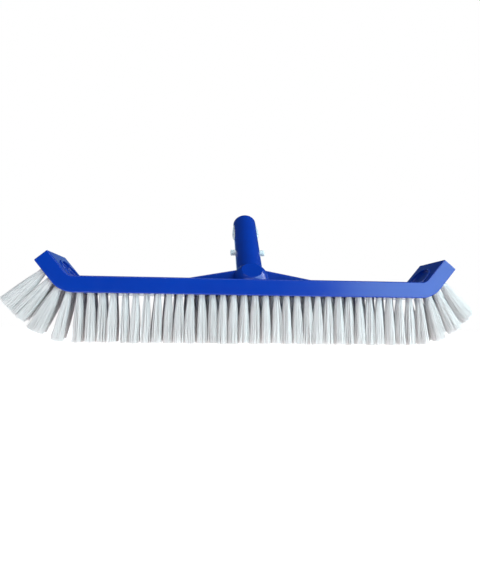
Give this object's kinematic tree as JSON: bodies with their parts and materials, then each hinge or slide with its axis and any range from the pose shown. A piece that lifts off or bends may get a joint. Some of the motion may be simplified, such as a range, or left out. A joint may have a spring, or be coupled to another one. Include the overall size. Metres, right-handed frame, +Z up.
{
  "type": "pool wall brush",
  "caption": "Pool wall brush with upturned ends: a moulded plastic back with fanned nylon tufts and a leaning round spigot whose sprung side buttons lock a telescopic pole.",
  "frame": {"origin": "centre of the plane that the straight tufts' tips rest on, under the middle of the back", "axes": "+X along the brush, +Y towards the side that the spigot leans to, +Z up from the bristle tips to the back"},
  "size_m": [0.5238, 0.1138, 0.167],
  "materials": {
    "blue_plastic": "moulded polypropylene, semi-gloss",
    "pale_plastic": "moulded acetal, satin",
    "nylon_bristle": "cut nylon filament"
  },
  "bodies": {
    "brush": {"bristles_front_01": "nylon_bristle", "bristles_front_02": "nylon_bristle", "bristles_front_03": "nylon_bristle", "bristles_front_04": "nylon_bristle", "bristles_front_05": "nylon_bristle", "bristles_front_06": "nylon_bristle", "bristles_front_07": "nylon_bristle", "bristles_front_08": "nylon_bristle", "bristles_front_09": "nylon_bristle", "bristles_front_10": "nylon_bristle", "bristles_front_11": "nylon_bristle", "bristles_front_12": "nylon_bristle", "bristles_front_13": "nylon_bristle", "bristles_front_14": "nylon_bristle", "bristles_front_15": "nylon_bristle", "bristles_front_16": "nylon_bristle", "bristles_middle_01": "nylon_bristle", "bristles_middle_02": "nylon_bristle", "bristles_middle_03": "nylon_bristle", "bristles_middle_04": "nylon_bristle", "bristles_middle_05": "nylon_bristle", "bristles_middle_06": "nylon_bristle", "bristles_middle_07": "nylon_bristle", "bristles_middle_08": "nylon_bristle", "bristles_middle_09": "nylon_bristle", "bristles_middle_10": "nylon_bristle", "bristles_middle_11": "nylon_bristle", "bristles_middle_12": "nylon_bristle", "bristles_middle_13": "nylon_bristle", "bristles_middle_14": "nylon_bristle", "bristles_middle_15": "nylon_bristle", "bristles_rear_01": "nylon_bristle", "bristles_rear_02": "nylon_bristle", "bristles_rear_03": "nylon_bristle", "bristles_rear_04": "nylon_bristle", "bristles_rear_05": "nylon_bristle", "bristles_rear_06": "nylon_bristle", "bristles_rear_07": "nylon_bristle", "bristles_rear_08": "nylon_bristle", "bristles_rear_09": "nylon_bristle", "bristles_rear_10": "nylon_bristle", "bristles_rear_11": "nylon_bristle", "bristles_rear_12": "nylon_bristle", "bristles_rear_13": "nylon_bristle", "bristles_rear_14": "nylon_bristle", "bristles_rear_15": "nylon_bristle", "bristles_rear_16": "nylon_bristle", "brush_back": "blue_plastic", "clip_bridge": "pale_plastic", "pole_spigot": "blue_plastic"},
    "left_clip_arm": {"clip_arm_left": "pale_plastic"},
    "right_clip_arm": {"clip_arm_right": "pale_plastic"}
  },
  "joints": [
    {"name": "left_button_press", "type": "hinge", "parent": "brush", "child": "left_clip_arm", "pos_m": [-0.0099, 0.07627, 0.15289], "axis": [0, -0.7431, 0.6691], "range_deg": [0, 7.5], "stiffness_Nm_per_rad": 4},
    {"name": "right_button_press", "type": "hinge", "parent": "brush", "child": "right_clip_arm", "pos_m": [0.0099, 0.07627, 0.15289], "axis": [0, 0.7431, -0.6691], "range_deg": [0, 7.5], "stiffness_Nm_per_rad": 4}
  ]
}
